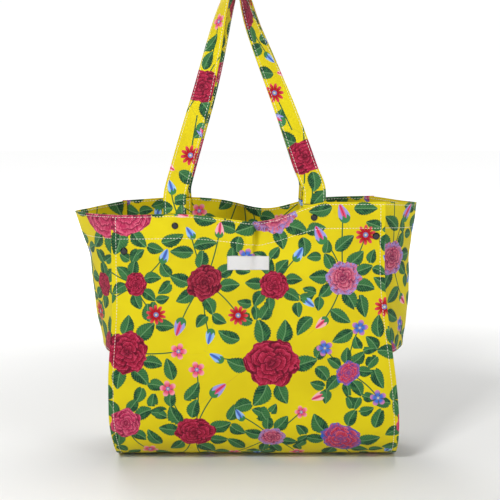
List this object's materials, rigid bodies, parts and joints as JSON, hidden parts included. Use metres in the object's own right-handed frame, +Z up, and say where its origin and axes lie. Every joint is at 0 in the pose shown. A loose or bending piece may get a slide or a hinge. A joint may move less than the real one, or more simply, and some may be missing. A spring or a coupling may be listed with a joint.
{
  "type": "foldable tote bag with a mat sling",
  "caption": "Flower-printed foldable tote bag with creased side gussets, strap handles, snaps and an open-ended sling beneath for a rolled mat.",
  "frame": {"origin": "middle of the flat strip on which the sling stands, at the middle of the overall width and depth", "axes": "+Z up towards the handles, +X along the panels' width, -Y out of the front panel"},
  "size_m": [0.368, 0.1296, 0.5459],
  "materials": {
    "printed_cloth": "smooth printed cloth, flowers on yellow",
    "lining_cloth": "matte printed lining cloth",
    "strap_cloth": "printed cloth, top-stitched",
    "black_fastener": "glossy black enamel",
    "burr_metal": "dull nickel",
    "label_cloth": "plain off-white woven label"
  },
  "bodies": {
    "bag_back": {"back_panel": "printed_cloth", "back_lining": "lining_cloth", "back_rim_facing": "printed_cloth", "back_handle_tabs": "strap_cloth", "back_rivets": "black_fastener", "back_rivet_burrs": "burr_metal", "back_snap_caps": "black_fastener", "back_snap_sockets": "black_fastener", "mat_sling": "printed_cloth", "sling_lining": "lining_cloth", "inner_floor": "lining_cloth"},
    "left_gusset_rear": {"left_gusset_rear": "printed_cloth", "left_gusset_rear_lining": "lining_cloth", "left_gusset_rear_facing": "printed_cloth"},
    "left_gusset_front": {"left_gusset_front": "printed_cloth", "left_gusset_front_lining": "lining_cloth", "left_gusset_front_facing": "printed_cloth"},
    "bag_front": {"front_panel": "printed_cloth", "front_lining": "lining_cloth", "front_rim_facing": "printed_cloth", "front_handle_tabs": "strap_cloth", "front_rivets": "black_fastener", "front_rivet_burrs": "burr_metal", "front_snap_caps": "black_fastener", "front_snap_studs": "black_fastener", "blank_label": "label_cloth"},
    "right_gusset_rear": {"right_gusset_rear": "printed_cloth", "right_gusset_rear_lining": "lining_cloth", "right_gusset_rear_facing": "printed_cloth"},
    "right_gusset_front": {"right_gusset_front": "printed_cloth", "right_gusset_front_lining": "lining_cloth", "right_gusset_front_facing": "printed_cloth"},
    "front_handle_base": {"front_handle_roots": "strap_cloth"},
    "front_handle": {"front_handle": "strap_cloth", "front_handle_backing": "strap_cloth"},
    "back_handle_base": {"back_handle_roots": "strap_cloth"},
    "back_handle": {"back_handle": "strap_cloth", "back_handle_backing": "strap_cloth"}
  },
  "joints": [
    {"name": "fold", "type": "hinge", "parent": "bag_back", "child": "left_gusset_rear", "pos_m": [-0.153, 0.0595, 0.2], "axis": [0, 0, -1], "range_deg": [0, 57.3], "deforming": ["mat_sling", "sling_lining", "inner_floor"]},
    {"name": "left_crease", "type": "hinge", "parent": "left_gusset_rear", "child": "left_gusset_front", "pos_m": [-0.1838, 0, 0.2], "axis": [0, 0, -1], "range_deg": [-115, 0]},
    {"name": "left_front_seam", "type": "hinge", "parent": "left_gusset_front", "child": "bag_front", "pos_m": [-0.153, -0.0595, 0.2], "axis": [0, 0, -1], "range_deg": [0, 58]},
    {"name": "right_rear_seam", "type": "hinge", "parent": "bag_back", "child": "right_gusset_rear", "pos_m": [0.153, 0.0595, 0.2], "axis": [0, 0, -1], "range_deg": [-58, 0]},
    {"name": "right_crease", "type": "hinge", "parent": "right_gusset_rear", "child": "right_gusset_front", "pos_m": [0.1838, 0, 0.2], "axis": [0, 0, -1], "range_deg": [0, 115]},
    {"name": "front_handle_lean", "type": "hinge", "parent": "bag_front", "child": "front_handle_base", "pos_m": [0, -0.0602, 0.288], "axis": [0.9982, 0, 0.0599], "range_deg": [0, 12]},
    {"name": "front_handle_swing", "type": "hinge", "parent": "front_handle_base", "child": "front_handle", "pos_m": [0, -0.05868, 0.30801], "axis": [0.9982, 0, 0.0599], "range_deg": [0, 165]},
    {"name": "back_handle_lean", "type": "hinge", "parent": "bag_back", "child": "back_handle_base", "pos_m": [0, 0.0602, 0.288], "axis": [-0.9982, 0, -0.0599], "range_deg": [0, 12]},
    {"name": "back_handle_swing", "type": "hinge", "parent": "back_handle_base", "child": "back_handle", "pos_m": [0, 0.05868, 0.30801], "axis": [-0.9982, 0, -0.0599], "range_deg": [0, 165]}
  ],
  "couplings": [
    {"joint": "left_crease", "follows": "fold", "ratio": -2},
    {"joint": "left_front_seam", "follows": "fold", "ratio": 1},
    {"joint": "right_rear_seam", "follows": "fold", "ratio": -1},
    {"joint": "right_crease", "follows": "fold", "ratio": 2},
    {"joint": "front_handle_lean", "follows": "fold", "ratio": 0.2},
    {"joint": "back_handle_lean", "follows": "fold", "ratio": 0.2}
  ]
}
